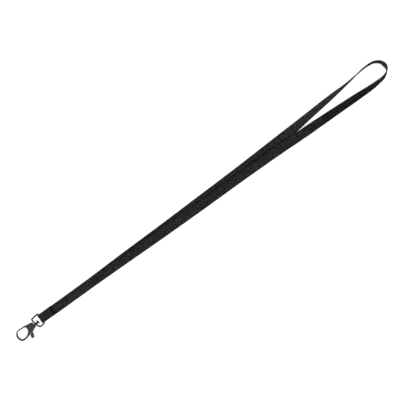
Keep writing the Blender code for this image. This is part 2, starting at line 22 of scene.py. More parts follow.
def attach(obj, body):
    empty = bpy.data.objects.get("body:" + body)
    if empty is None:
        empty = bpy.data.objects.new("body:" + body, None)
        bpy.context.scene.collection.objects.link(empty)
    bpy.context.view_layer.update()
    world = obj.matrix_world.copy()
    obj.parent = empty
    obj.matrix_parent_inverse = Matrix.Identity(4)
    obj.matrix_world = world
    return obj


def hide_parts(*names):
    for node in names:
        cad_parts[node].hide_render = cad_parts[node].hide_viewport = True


bl_info = {
    "name": "Neck lanyard",
    "version": (1, 0, 0),
    "blender": (4, 5, 0),
    "location": "3D View > Sidebar > Lanyard",
    "description": "Makes a woven neck lanyard with a swivel hook on its packed frame",
    "category": "Object",
}

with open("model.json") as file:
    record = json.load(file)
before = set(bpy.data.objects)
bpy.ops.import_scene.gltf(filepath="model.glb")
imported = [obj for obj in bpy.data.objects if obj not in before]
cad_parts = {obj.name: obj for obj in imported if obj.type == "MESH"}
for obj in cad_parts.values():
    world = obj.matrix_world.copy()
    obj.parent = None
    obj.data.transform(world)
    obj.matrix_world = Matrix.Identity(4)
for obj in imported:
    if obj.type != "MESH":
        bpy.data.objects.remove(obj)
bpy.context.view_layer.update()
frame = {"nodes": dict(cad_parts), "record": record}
JOINTS = {joint["name"]: joint for joint in frame["record"]["behaviour"]["joints"]}

MM = 0.001

# ---- places that the frame gives ----
BAR = Vector(JOINTS["ring_hinge"]["pos_m"]) / MM
CLASP_AXIS = Vector(JOINTS["hook_swivel"]["axis"])
PIVOT = Vector(JOINTS["trigger_pivot"]["pos_m"]) / MM
# From the strap's own origin, at the fold's outer face, to the middle of the bar.
BAR_SETBACK = 1.26
BAR_SIDE = 0.256
STRAP_ORIGIN = Vector((BAR.x - BAR_SETBACK, BAR.y - BAR_SIDE, 0))

# ---- how the strap lies ----
# Distance from the fold, offset to the side, lean of its width (0 flat, 90 on
# edge), extra height above its layer, and its layer.  The outgoing run comes
# first, then the turn of the neck loop, then the return.
STRAP_RUN = (
    (12.4, 0.30, 0, 0.3, 0),
    (22.7, 0.10, 0, 0.3, 0),
    (39.0, 0.00, 0, 0.0, 0),
    (62.0, 0.00, 0, 0.0, 0),
    (103.0, 0.67, 0, 0.0, 0),
    (154.5, 1.18, 0, 0.0, 0),
    (206.0, 2.00, 0, 0.0, 0),
    (257.5, 2.94, 0, 0.0, 0),
    (288.0, 3.90, 0, 0.0, 0),
    (309.0, 4.60, 6, 0.0, 0),
    (329.6, 5.50, 24, 0.0, 0),
    (340.0, 6.30, 36, 0.0, 0),
    (360.5, 7.80, 50, 0.0, 0),
    (381.0, 9.20, 65, 0.0, 0),
    (391.4, 9.85, 76, 0.0, 0),
    (401.7, 10.80, 84, 0.0, 0),
    (412.0, 12.05, 90, 0.0, 0),
    (423.5, 12.95, 95, 0.0, 0),
    (433.8, 11.60, 102, 0.0, 0),
    (439.2, 7.40, 110, 0.0, 0),
    (440.7, 2.10, 114, 0.0, 0),
    (439.3, -2.40, 96, 0.0, 0),
    (434.0, -5.90, 80, 0.0, 0),
    (424.0, -7.25, 66, 0.0, 0),
    (412.0, -7.36, 55, 0.0, 0),
    (401.7, -6.90, 47, 0.0, 0),
    (391.4, -6.50, 42, 0.0, 0),
    (381.0, -6.10, 37, 0.0, 0),
    (370.8, -5.70, 32, 0.0, 0),
    (360.5, -5.40, 26, 0.2, 0),
    (350.2, -5.00, 18, 0.6, 0),
    (340.0, -4.75, 8, 1.0, 0),
    (329.6, -4.45, 0, 0.3, 1),
    (309.0, -3.66, 0, 0.3, 1),
    (288.0, -3.10, 0, 0.3, 1),
    (257.5, -2.63, 0, 0.0, 1),
    (206.0, -2.42, 0, 0.0, 1),
    (154.5, -1.80, 0, 0.0, 1),
    (103.0, -0.77, 0, 0.0, 1),
    (62.0, -0.10, 0, 0.0, 1),
    (39.0, 0.00, 0, 0.0, 1),
    (22.7, 0.10, 0, 0.3, 1),
    (12.4, 0.30, 0, 0.3, 1),
    (5.2, 0.40, 0, 0.3, 1),
)
LAYER_GAP = 0.1
FOLD_RAISE = 0.3
FOLD_SIDE = 0.40
FOLD_DRAW_IN = 0.1
FOLD_NARROW_TO = 4.2
FULL_WIDTH_FROM = 6.2
TAIL_LENGTH = 16.8
TAIL_LEVEL_FROM = 7.6
BAR_CLEAR_RADIUS = 0.78
FOLD_EASE = 1.1
CLASP_MID = BAR.z
# Stations on the level tail, down to the bar and round the fold, and the
# distances of those over and under the bar.
TAIL_STEPS = 34
DROP_STEPS = 10
BEND_STEPS = 20
OVER_BAR = (2.6, 1.9)
UNDER_BAR = (1.9, 2.6, 3.4, FOLD_NARROW_TO, 4.8, 5.5, FULL_WIDTH_FROM, 8.0, 10.0)
RUN_STEP = 1.3
RUN_TURN_DEG = 4.0

# ---- the strap's outline ----
FACE_POINTS = 9
EDGE_STEPS = 6
# The selvedge's half thickness is this share of the strap's.
SELVEDGE_ROUND = 0.86
# Shares of the crown that the upper and the lower face take.
CROWN_OVER = 0.6
CROWN_UNDER = 0.4
# Selvedge thickening on each face: where layers lie close, and what is added
# where the strap stands free.
SELVEDGE_BEAD = 0.03
OPEN_SELVEDGE_BEAD = 0.14
# How far the width wanders along the strap, and how fast.
WIDTH_WANDER = 0.05
WANDER_RATE = 0.16
# The melted ends: thinner at the cut and next to it, and drawn in.
CUT_THINNESS = 0.72
NEXT_THINNESS = 0.95
CUT_DRAW_IN = 0.12

# ---- how it is sewn ----
SEAM_FROM_TAIL_END = 1.7
SEAM_X = TAIL_LENGTH - SEAM_FROM_TAIL_END
SEAM_HALF = 4.3
# How far the stitching draws the tail down, flattens it, and how far this shows.
SEAM_DRAW_DOWN = 0.14
SEAM_FLATTEN = 0.2
SEAM_PRESS_REACH = 0.75
# Painted shadow of the seam's pressed groove: the weave is painted near black up to
# the first distance from the seam and eases back by the second.
SEAM_SHADE_FROM = 0.85
SEAM_SHADE_TO = 1.25
# Depth of the stitches' feet in the top and in the underside.
NEEDLE_SINK = 0.2
BOBBIN_SINK = 0.02
BOBBIN_THINNESS = 0.9
THREAD_SIDES = 8
# One stitch: share of its length, and height in thread radii.
STITCH_ARCH = (
    (0.0, -0.30), (0.05, -0.10), (0.16, 0.55), (0.34, 0.95), (0.5, 1.0),
    (0.66, 0.95), (0.84, 0.55), (0.95, -0.10), (1.0, -0.30),
)

# ---- metal ----
# Distance from the ring's bar and radius, from the head to the hidden end.
RIVET_PROFILE = (
    (3.825, 0.0), (3.83, 0.60), (3.87, 1.12), (3.97, 1.52), (4.13, 1.80),
    (4.36, 2.0), (4.66, 2.08), (4.96, 2.1), (5.20, 2.08), (5.29, 2.03),
    (5.32, 1.92), (5.325, 1.0), (5.345, 0.72), (5.42, 0.645), (8.0, 0.645),
    (11.82, 0.64), (11.97, 0.55), (11.99, 0.0),
)
# Widening of the castings in plan.  It is nothing up to the first distance from
# another piece, and full beyond the first and the second together.
RING_SWELL = 0.13
HOOK_SWELL = 0.16
SWELL_NOTHING = 0.4
SWELL_EASE = 0.9
# Grip grooves on the thumb tab, measured from the pivot along the tab.
TAB_DIRECTION = Vector((0.36, 0.93, 0))
GROOVES_FROM = 6.9
GROOVES_TO = 10.3
GROOVE_PITCH = 0.85
GROOVE_DEPTH = 0.1
GROOVE_EASE = 0.3

# ---- colours of dirt, wear and the darker hollows ----
LINT = (0.09, 0.088, 0.085)
HOLLOW_DARK = (0.06, 0.058, 0.055)
SPECK = (0.08, 0.078, 0.075)
PLATE_WARMTH = (1.14, 1.12, 1.09)
SPRING_DARK = (0.34, 0.33, 0.31)
SPRING_LIGHT = (0.5, 0.5, 0.52)

# ---- studio, in metres ----
FLOOR_HALF = 3.0
FLOOR_DROP = 0.0001
KEY_PLACE = (0.25, -1.1, 0.85)
KEY_SIZE = (1.2, 0.7)
SIDE_PLACE = (-1.2, 0.55, 0.7)
SIDE_SIZE = (0.9, 0.6)
SIDE_SHARE = 1 / 3
# Height of the direction and grey of the sky, darkest at the horizon.
SKY = ((0.15, 0.06), (0.75, 1.0))
LENS_MM = 400.0
SENSOR_MM = 36.0
VIEW_CENTRE = (-0.0011, 0.00135)


# ---------------------------------------------------------------- settings
class StrapSettings(bpy.types.PropertyGroup):
    """Sizes and looks of the woven strap."""

    width: FloatProperty(
        name="Width", description="Width of the webbing",
        default=10.0 * MM, min=0.002, unit="LENGTH",
    )
    thickness: FloatProperty(
        name="Thickness", description="Thickness of one layer of webbing",
        default=0.9 * MM, min=0.0001, unit="LENGTH",
    )
    warp_ends: IntProperty(
        name="Warp ribs", description="Lengthwise ribs across the width",
        default=9, min=4,
    )
    pick: FloatProperty(
        name="Pick", description="Distance from one crosswise thread to the next",
        default=1.1 * MM, min=0.0001, unit="LENGTH",
    )
    colour: FloatVectorProperty(
        name="Colour", description="Colour of the dyed yarn",
        default=(0.0305, 0.0305, 0.031), size=3, subtype="COLOR", min=0, max=1,
    )
    crown: FloatProperty(
        name="Crown", description="How far the strap's middle stands above its edges",
        default=0.12 * MM, min=0, unit="LENGTH",
    )


class StitchSettings(bpy.types.PropertyGroup):
    """Sizes and looks of the stitching near the ring."""

    pitch: FloatProperty(
        name="Pitch", description="Distance between needle holes across the strap",
        default=0.36 * MM, min=0.0002, unit="LENGTH",
    )
    swing: FloatProperty(
        name="Swing", description="Width of the zigzag",
        default=1.35 * MM, min=0.0002, unit="LENGTH",
    )
    thread: FloatProperty(
        name="Thread", description="Diameter of the sewing thread",
        default=0.3 * MM, min=0.00005, unit="LENGTH",
    )
    colour: FloatVectorProperty(
        name="Colour", description="Colour of the sewing thread",
        default=(0.0012, 0.0012, 0.0013), size=3, subtype="COLOR", min=0, max=1,
    )


class MetalSettings(bpy.types.PropertyGroup):
    """Looks of the plated metal pieces."""

    plate: FloatVectorProperty(
        name="Plating", description="Colour of the dark nickel plating",
        default=(0.26, 0.258, 0.262), size=3, subtype="COLOR", min=0, max=1,
    )
    worn: FloatVectorProperty(
        name="Worn edges", description="Colour where the plating is rubbed bright",
        default=(0.62, 0.61, 0.60), size=3, subtype="COLOR", min=0, max=1,
    )
    roughness: FloatProperty(
        name="Roughness", description="Roughness of the polished plating",
        default=0.22, min=0.02, max=1.0, subtype="FACTOR",
    )
    grain: FloatProperty(
        name="Casting grain", description="Size of the cast surface's ripple",
        default=0.6 * MM, min=0.00005, unit="LENGTH",
    )


class StageSettings(bpy.types.PropertyGroup):
    """The studio round the lanyard."""

    floor: FloatVectorProperty(
        name="Floor", description="Colour of the floor",
        default=(0.5, 0.5, 0.5), size=3, subtype="COLOR", min=0, max=1,
    )
    glow: FloatProperty(
        name="Glow", description="How much the floor lights up by itself",
        default=0.86, min=0,
    )
    key: FloatProperty(
        name="Key light", description="Power of the large soft light",
        default=12.0, min=0, unit="POWER",
    )
    fill: FloatProperty(
        name="Fill", description="Strength of the light from overhead",
        default=0.36, min=0,
    )
    turn: FloatProperty(
        name="Camera turn", description="Turn of the camera about the upright line",
        default=math.radians(-36.1), subtype="ANGLE",
    )
    view_width: FloatProperty(
        name="View width", description="Width of the view at the floor",
        default=0.412, min=0.01, unit="LENGTH",
    )


# ---------------------------------------------------------------- shader helpers
class Shader:
    """Adds nodes to one material and links them."""

    def __init__(self, name):
        self.material = bpy.data.materials.new(name)
        self.material.use_nodes = True
        self.tree = self.material.node_tree
        self.surface = self.tree.nodes["Principled BSDF"]

    def add(self, kind, settings=None, **inputs):
        node = self.tree.nodes.new(kind)
        for key, value in (settings or {}).items():
            setattr(node, key, value)
        for key, value in inputs.items():
            self.put(node.inputs[key.replace("_", " ")], value)
        return node

    def put(self, socket, value):
        if isinstance(value, bpy.types.NodeSocket):
            self.tree.links.new(value, socket)
        else:
            socket.default_value = value

    def math(self, operation, *values):
        node = self.tree.nodes.new("ShaderNodeMath")
        node.operation = operation
        for socket, value in zip(node.inputs, values):
            self.put(socket, value)
        return node.outputs[0]

    def product(self, value, *others):
        """Numbers multiplied together."""
        for other in others:
            value = self.math("MULTIPLY", value, other)
        return value

    def hump(self, value):
        """A value's way from 0 up to 1 and back as it goes from 0 to 1."""
        return self.math("SINE", self.math("MULTIPLY", value, math.pi))

    def mix(self, factor, a, b):
        """Blend of two numbers."""
        node = self.tree.nodes.new("ShaderNodeMix")
        self.put(node.inputs["Factor"], factor)
        self.put(node.inputs[2], a)
        self.put(node.inputs[3], b)
        return node.outputs[0]

    def blend(self, factor, a, b, mode="MIX"):
        """Blend of two colours."""
        node = self.tree.nodes.new("ShaderNodeMix")
        node.data_type = "RGBA"
        node.blend_type = mode
        self.put(node.inputs["Factor"], factor)
        for socket, value in ((node.inputs[6], a), (node.inputs[7], b)):
            if not isinstance(value, bpy.types.NodeSocket):
                value = (*value, 1) if len(value) == 3 else value
            self.put(socket, value)
        return node.outputs[2]

    def shaded(self, colour, light):
        """A colour made darker or lighter by a number."""
        grey = self.add("ShaderNodeCombineXYZ", X=light, Y=light, Z=light)
        return self.blend(1.0, tuple(colour), grey.outputs[0], "MULTIPLY")

    def ramp(self, value, low, high, to_low=0.0, to_high=1.0):
        """A value remapped from one range to another and held inside it."""
        node = self.add(
            "ShaderNodeMapRange", {"interpolation_type": "SMOOTHSTEP"}, Value=value,
            From_Min=low, From_Max=high, To_Min=to_low, To_Max=to_high,
        )
        return node.outputs["Result"]

    def noise(self, vector, scale, detail=3.0, rough=0.5):
        node = self.add(
            "ShaderNodeTexNoise", Vector=vector, Scale=scale, Detail=detail,
            Roughness=rough,
        )
        return node.outputs["Fac"]

    def object_place(self):
        return self.add("ShaderNodeTexCoord").outputs["Object"]

    def weave_place(self):
        """Place on the flattened surface, in metres across and along it."""
        return self.add("ShaderNodeUVMap", {"uv_map": "weave"}).outputs["UV"]

    def stretched(self, vector, scale):
        """The vector scaled unevenly, so a pattern on it is drawn out."""
        node = self.add("ShaderNodeMapping", Vector=vector, Scale=scale)
        return node.outputs["Vector"]

    def bump(self, height, distance, strength=1.0, over=None):
        node = self.add(
            "ShaderNodeBump", Height=height, Distance=distance, Strength=strength,
        )
        if over is not None:
            self.put(node.inputs["Normal"], over)
        return node.outputs["Normal"]

    def finish(self, **inputs):
        for key, value in inputs.items():
            self.put(self.surface.inputs[key.replace("_", " ")], value)
        return self.material


def webbing_material(strap):
    """Dyed plain weave: rounded ribs passing over and under each other."""
    sh = Shader("woven_webbing")
    uv = sh.weave_place()
    split = sh.add("ShaderNodeSeparateXYZ", Vector=uv)
    warp_pitch = strap.width / strap.warp_ends
    across = sh.math("DIVIDE", split.outputs["X"], warp_pitch)
    along = sh.math("DIVIDE", split.outputs["Y"], strap.pick)
    wander = sh.noise(sh.stretched(uv, (260, 260, 1)), 1.0, 2.0)
    wander = sh.math("MULTIPLY", sh.math("SUBTRACT", wander, 0.5), 0.35)
    across = sh.math("ADD", across, wander)
    along = sh.math("ADD", along, wander)

    rib = sh.math("FLOOR", across)
    pick = sh.math("FLOOR", along)
    checker = sh.math("MODULO", sh.math("ADD", rib, pick), 2.0)
    warp_up = sh.math("ABSOLUTE", checker)
    hump_rib = sh.hump(sh.math("FRACT", across))
    hump_pick = sh.hump(sh.math("FRACT", along))
    round_rib = sh.math("POWER", sh.math("MAXIMUM", hump_rib, 0.001), 0.6)
    round_pick = sh.math("POWER", sh.math("MAXIMUM", hump_pick, 0.001), 0.6)
    warp = sh.math("MULTIPLY", round_rib, sh.mix(hump_pick, 0.45, 1.0))
    weft = sh.math("MULTIPLY", round_pick, sh.mix(hump_rib, 0.35, 0.85))
    relief = sh.mix(warp_up, weft, warp)

    yarn = sh.add("ShaderNodeCombineXYZ", X=sh.mix(warp_up, pick, rib), Y=warp_up)
    tone = sh.add("ShaderNodeTexWhiteNoise", Vector=yarn.outputs[0]).outputs["Value"]
    crossing = sh.add("ShaderNodeCombineXYZ", X=rib, Y=pick)
    spot = sh.add("ShaderNodeTexWhiteNoise", Vector=crossing.outputs[0])
    lengthwise = sh.noise(sh.stretched(uv, (30000, 2600, 1)), 1.0, 4.0, 0.65)
    crosswise = sh.noise(sh.stretched(uv, (2600, 30000, 1)), 1.0, 4.0, 0.65)
    fibre = sh.mix(warp_up, crosswise, lengthwise)
    broad = sh.noise(sh.stretched(uv, (90, 28, 1)), 1.0, 3.0)
    fuzz = sh.noise(sh.stretched(uv, (5200, 5200, 1)), 1.0, 2.0)

    from_seam = sh.math("SUBTRACT", split.outputs["Y"], SEAM_FROM_TAIL_END * MM)
    from_seam = sh.math("ABSOLUTE", from_seam)
    light = sh.product(
        # Painted shade and light: the colour is darker in the hollows between threads
        # and lighter on their crests.
        sh.ramp(relief, 0.15, 0.95, 0.30, 1.12),
        sh.mix(warp_up, 0.62, 1.34),
        sh.ramp(tone, 0.0, 1.0, 0.84, 1.14),
        sh.ramp(spot.outputs["Value"], 0.0, 1.0, 0.4, 1.65),
        sh.ramp(fibre, 0.25, 0.75, 0.78, 1.2),
        sh.ramp(broad, 0.3, 0.7, 0.9, 1.12),
        # Painted shadow of the seam's pressed groove: near black beside the seam.
        sh.ramp(from_seam, SEAM_SHADE_FROM * MM, SEAM_SHADE_TO * MM, 0.04, 1.0),
    )
    colour = sh.shaded(strap.colour, light)
    lint = sh.ramp(fuzz, 0.74, 0.82)
    colour = sh.blend(sh.math("MULTIPLY", lint, 0.35), colour, LINT)

    rough = sh.ramp(fibre, 0.2, 0.8, 0.62, 0.86)
    normal = sh.bump(relief, 0.16 * MM, 0.9)
    normal = sh.bump(fibre, 0.03 * MM, 0.6, normal)
    return sh.finish(
        Base_Color=colour, Roughness=rough, Normal=normal, Sheen_Weight=0.04,
        Sheen_Roughness=0.6, Sheen_Tint=(0.8, 0.8, 0.82, 1), Specular_IOR_Level=0.16,
    )


def sealed_end_material(strap):
    """Webbing melted at its cut end: blurred ribs under a hard, darker skin."""
    sh = Shader("heat_sealed_end")
    uv = sh.weave_place()
    ripple = sh.noise(sh.stretched(uv, (2600, 2600, 1)), 1.0, 4.0, 0.6)
    dark = tuple(c * 0.45 for c in strap.colour)
    colour = sh.blend(sh.ramp(ripple, 0.35, 0.7), dark, tuple(strap.colour))
    rough = sh.ramp(ripple, 0.3, 0.7, 0.3, 0.6)
    normal = sh.bump(ripple, 0.12 * MM, 0.8)
    return sh.finish(
        Base_Color=colour, Roughness=rough, Normal=normal, Specular_IOR_Level=0.5,
    )


def thread_material(stitch):
    """Twisted sewing thread: plies wound along each stitch."""
    sh = Shader("sewing_thread")
    uv = sh.weave_place()
    split = sh.add("ShaderNodeSeparateXYZ", Vector=uv)
    around = sh.math("DIVIDE", split.outputs["X"], stitch.thread * math.pi)
    along = sh.math("DIVIDE", split.outputs["Y"], 0.42 * MM)
    wound = sh.math("ADD", sh.math("MULTIPLY", around, 3.0), along)
    ply = sh.hump(sh.math("FRACT", wound))
    hair = sh.noise(sh.stretched(uv, (22000, 5000, 1)), 1.0, 3.0)
    light = sh.product(
        # The ply factor is painted shade and light: darker in the grooves between
        # plies, lighter on their crests.
        sh.ramp(ply, 0.0, 1.0, 0.5, 1.35), sh.ramp(hair, 0.3, 0.7, 0.8, 1.25),
    )
    colour = sh.shaded(stitch.colour, light)
    height = sh.math("ADD", ply, sh.math("MULTIPLY", hair, 0.3))
    normal = sh.bump(height, 0.05 * MM, 0.8)
    return sh.finish(
        Base_Color=colour, Roughness=sh.ramp(hair, 0.2, 0.8, 0.6, 0.8), Normal=normal,
        Specular_IOR_Level=0.12,
    )


def plated_material(name, metal, tone_and_painted_shade, ripple, wear, parting=False):
    """Polished dark plating over cast or drawn metal, rubbed bright on its edges.

    Shade scales the plating's colour piece by piece: partly each piece's own finish,
    partly painted shade and light that darken the thin ring wire most.  Ripple is the
    surface's unevenness in millimetres, wear is how bright the edges get, and parting
    adds the mould's line.
    """
    sh = Shader(name)
    place = sh.object_place()
    cloud = sh.noise(place, 0.315 / metal.grain, 4.0, 0.55)
    grain = sh.noise(place, 1.0 / metal.grain, 3.0, 0.5)
    pits = sh.noise(place, 5200.0, 2.0, 0.6)
    rub = sh.noise(sh.stretched(place, (900, 5200, 2600)), 1.0, 5.0, 0.7)
    edge = sh.add("ShaderNodeNewGeometry").outputs["Pointiness"]
    worn = sh.math("MULTIPLY", sh.ramp(edge, 0.52, 0.60), sh.ramp(cloud, 0.35, 0.65))
    hollow = sh.ramp(edge, 0.44, 0.495, 1.0, 0.0)

    # Painted shade and light: the same plating scaled darker or lighter for each
    # piece.
    plate = tuple(c * tone_and_painted_shade for c in metal.plate)
    warm = tuple(c * f for c, f in zip(plate, PLATE_WARMTH))
    colour = sh.blend(sh.ramp(cloud, 0.3, 0.7), plate, warm)
    colour = sh.blend(sh.math("MULTIPLY", worn, wear), colour, tuple(metal.worn))
    # Darker and rougher in the hollows.
    colour = sh.blend(sh.math("MULTIPLY", hollow, 0.6), colour, HOLLOW_DARK)
    speck = sh.ramp(pits, 0.70, 0.78)
    colour = sh.blend(sh.math("MULTIPLY", speck, 0.5), colour, SPECK)

    rough = sh.ramp(
        rub, 0.3, 0.75, metal.roughness * 0.75, metal.roughness * 1.55,
    )
    rough = sh.math("ADD", rough, sh.math("MULTIPLY", hollow, 0.25))
    height = sh.math("ADD", grain, sh.math("MULTIPLY", rub, 0.25))
    normal = sh.bump(height, ripple * MM, 0.7)
    normal = sh.bump(sh.math("SUBTRACT", 1.0, speck), 0.01 * MM, 0.6, normal)
    if parting:
        level = sh.add("ShaderNodeSeparateXYZ", Vector=place).outputs["Z"]
        off = sh.math("ABSOLUTE", sh.math("SUBTRACT", level, CLASP_MID * MM))
        seam = sh.ramp(off, 0.02 * MM, 0.09 * MM, 1.0, 0.0)
        normal = sh.bump(seam, 0.03 * MM, 0.6, normal)
        rough = sh.math("ADD", rough, sh.math("MULTIPLY", seam, 0.12))
    return sh.finish(
        Base_Color=colour, Metallic=1.0, Roughness=rough, Normal=normal,
    )


def spring_material(metal):
    """Drawn spring wire with fine lines along it and an oily darkness."""
    sh = Shader("drawn_spring_wire")
    place = sh.object_place()
    lines = sh.noise(sh.stretched(place, (3000, 3000, 26000)), 1.0, 3.0)
    cloud = sh.noise(place, 1500.0, 3.0)
    colour = sh.blend(sh.ramp(cloud, 0.3, 0.7), SPRING_DARK, SPRING_LIGHT)
    normal = sh.bump(lines, 0.008 * MM, 0.7)
    return sh.finish(
        Base_Color=colour, Metallic=1.0, Normal=normal,
        Roughness=sh.ramp(lines, 0.3, 0.7, metal.roughness, metal.roughness * 2),
    )


# ---------------------------------------------------------------- mesh helpers
def strap_to_world():
    return Matrix.Translation(STRAP_ORIGIN)


def clasp_to_world():
    """From the clasp's own frame, at the middle of the ring's bar."""
    along = CLASP_AXIS.normalized()
    up = Vector((0, 0, 1))
    turn = Matrix((along, up.cross(along), up)).transposed().to_4x4()
    return Matrix.Translation(BAR) @ turn


def pivot_to_world():
    turn = clasp_to_world().to_3x3().to_4x4()
    return Matrix.Translation(PIVOT) @ turn


def add_object(name, data):
    obj = bpy.data.objects.new(name, data)
    bpy.context.scene.collection.objects.link(obj)
    return obj


def close_ends(bm):
    rim = [e for e in bm.edges if e.is_boundary]
    bmesh.ops.holes_fill(bm, edges=rim, sides=0)


def smooth_step(t):
    """0 below 0 and 1 above 1, with an even change of slope between."""
    t = min(max(t, 0.0), 1.0)
    return t * t * (3 - 2 * t)


def finish_piece(name, bm, place, materials, body, nodes, angle=35):
    """Turn a mesh made in millimetres into a finished piece that rides on a body."""
    bmesh.ops.transform(bm, matrix=Matrix.Scale(MM, 4) @ place, verts=bm.verts)
    bmesh.ops.recalc_face_normals(bm, faces=bm.faces)
    mesh = bpy.data.meshes.new(name)
    bm.to_mesh(mesh)
    bm.free()
    for material in materials:
        mesh.materials.append(material)
    mesh.shade_smooth()
    mesh.set_sharp_from_angle(angle=math.radians(angle))
    obj = add_object(name, mesh)
    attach(obj, body)
    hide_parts(*nodes)
    return obj


def rolled_grid(bm, sections):
    """Roll a flat grid into a tube whose rings are the given rows of points.

    The grid's own flat coordinates become the UV map "weave", in metres across
    and along the surface, so a pattern follows the tube.  Both ends are left
    open.  Gives the length along the middle in millimetres.
    """
    count = len(sections[0])
    rows = len(sections)
    made = bmesh.ops.create_grid(bm, x_segments=count, y_segments=rows - 1, size=0.5)
    verts = made["verts"]
    layer = bm.loops.layers.uv.get("weave") or bm.loops.layers.uv.new("weave")
    around = [0.0]
    ring = sections[rows // 2]
    for j in range(count):
        around.append(around[-1] + (ring[(j + 1) % count] - ring[j]).length)
    along = [0.0]
    middles = [sum(row, Vector()) / count for row in sections]
    for a, b in zip(middles, middles[1:]):
        along.append(along[-1] + (b - a).length)
    place = {}
    for vert in verts:
        j = round((vert.co.x + 0.5) * count)
        i = round((vert.co.y + 0.5) * (rows - 1))
        place[vert] = (around[j] * MM, along[i] * MM)
        vert.co = sections[i][j % count]
    for vert in verts:
        for loop in vert.link_loops:
            loop[layer].uv = place[vert]
    bmesh.ops.remove_doubles(bm, verts=verts, dist=1e-5)
    return along[-1]


def frames_along(points):
    """Level side and upward directions square to a line, point by point."""
    last = len(points) - 1
    out = []
    up = Vector((0, 0, 1))
    for i in range(len(points)):
        ahead = points[min(i + 1, last)] - points[max(i - 1, 0)]
        ahead.normalize()
        side = up.cross(ahead)
        if side.length < 1e-4:
            side = Vector((0, 1, 0))
        side.normalize()
        out.append((side, ahead.cross(side)))
    return out


def smooth_line(rows, step, turn_deg):
    """A smooth curve through rows of numbers, the first two being X and Y."""
    width = len(rows[0])
    gaps = [math.hypot(b[0] - a[0], b[1] - a[1]) for a, b in zip(rows, rows[1:])]
    slopes = []
    for i in range(len(rows)):
        before = max(i - 1, 0)
        after = min(i, len(rows) - 2)
        share = gaps[before] + gaps[after]
        row = []
        for k in range(width):
            left = (rows[before + 1][k] - rows[before][k]) / gaps[before]
            right = (rows[after + 1][k] - rows[after][k]) / gaps[after]
            row.append((gaps[after] * left + gaps[before] * right) / share)
        slopes.append(row)
    out = [list(rows[0])]
    for i, gap in enumerate(gaps):
        start = math.atan2(slopes[i][1], slopes[i][0])
        end = math.atan2(slopes[i + 1][1], slopes[i + 1][0])
        turn = abs(math.degrees((end - start + math.pi) % (2 * math.pi) - math.pi))
        parts = max(1, math.ceil(gap / step), math.ceil(turn / turn_deg))
        for j in range(1, parts + 1):
            t = j / parts
            keep = 2 * t**3 - 3 * t**2 + 1
            leave = (t**3 - 2 * t**2 + t) * gap
            arrive = (t**3 - t**2) * gap
            out.append([
                keep * rows[i][k] + leave * slopes[i][k]
                + (1 - keep) * rows[i + 1][k] + arrive * slopes[i + 1][k]
                for k in range(width)
            ])
    return out


# ---------------------------------------------------------------- strap
def strap_half_width(x, half):
    """Half width near the ring, where the strap is drawn in to pass it."""
    full = smooth_step((x - FOLD_NARROW_TO) / (FULL_WIDTH_FROM - FOLD_NARROW_TO))
    return half - FOLD_DRAW_IN / 2 * (1 - full)


def seam_press(x):
    """How much the stitching draws the tail down, from 0 to 1 on the seam."""
    return math.exp(-((x - SEAM_X) / SEAM_PRESS_REACH) ** 2)


def fold_stations(thick):
    """From the tail's cut end over the bar, round it and back underneath."""
    layer = thick + LAYER_GAP
    upper = CLASP_MID + BAR_CLEAR_RADIUS + thick / 2
    lower = FOLD_RAISE + thick / 2
    tail = FOLD_RAISE + 2 * layer + thick / 2
    radius = (upper - lower) / 2
    reach = BAR_SETBACK + BAR_CLEAR_RADIUS + FOLD_EASE
    line = []
    for i in range(TAIL_STEPS + 1):
        x = TAIL_LENGTH + (TAIL_LEVEL_FROM - TAIL_LENGTH) * i / TAIL_STEPS
        line.append((x, tail - SEAM_DRAW_DOWN * seam_press(x)))
    for i in range(1, DROP_STEPS + 1):
        t = i / DROP_STEPS
        x = TAIL_LEVEL_FROM + (reach - TAIL_LEVEL_FROM) * t
        line.append((x, tail + (upper - tail) * smooth_step(t)))
    line += [(x, upper) for x in OVER_BAR]
    for i in range(BEND_STEPS + 1):
        angle = math.pi / 2 + math.pi * i / BEND_STEPS
        z = (upper + lower) / 2 + radius * math.sin(angle)
        line.append((BAR_SETBACK + radius * math.cos(angle), z))
    line += [(x, lower) for x in UNDER_BAR]
    return [(Vector((x, FOLD_SIDE, z)), 0.0) for x, z in line]


def run_stations(half, thick):
    """Middle points and lean of the two runs and the turn between them."""
    layer = thick + LAYER_GAP
    rows = [(x, y, lean, raised + n * layer) for x, y, lean, raised, n in STRAP_RUN]
    out = []
    for x, y, lean_deg, lift in smooth_line(rows, RUN_STEP, RUN_TURN_DEG):
        lean = math.radians(lean_deg) if lean_deg > 0.5 else 0.0
        lift = max(lift, 0.0)
        z = lift + half * abs(math.sin(lean)) + thick / 2 * abs(math.cos(lean))
        out.append((Vector((x, y, z)), lean))
    return out


def strap_section(half, thick, crown, bead):
    """Outline of the webbing: slightly crowned, with beaded round selvedges."""
    high = thick / 2
    soft = high * SELVEDGE_ROUND
    flat = half - soft
    drop = crown * (flat / half) ** 2 * CROWN_OVER - bead
    last = FACE_POINTS - 1

    def selvedge(side):
        """Round edge on one side, -1 or 1, without its two end points."""
        angles = [side * -math.pi / 2 + math.pi * i / EDGE_STEPS
                  for i in range(1, EDGE_STEPS)]
        return [(side * flat + soft * math.cos(angle), (high - drop) * math.sin(angle))
                for angle in angles]

    over, under = [], []
    for i in range(FACE_POINTS):
        a = flat - 2 * flat * i / last
        rise = bead if i in (0, last) else 0.0
        bulge = crown * (a / half) ** 2
        over.append((a, high + rise - bulge * CROWN_OVER))
        under.append((-a, -high - rise + (crown - bulge) * CROWN_UNDER))
    return over + selvedge(-1) + under + selvedge(1)


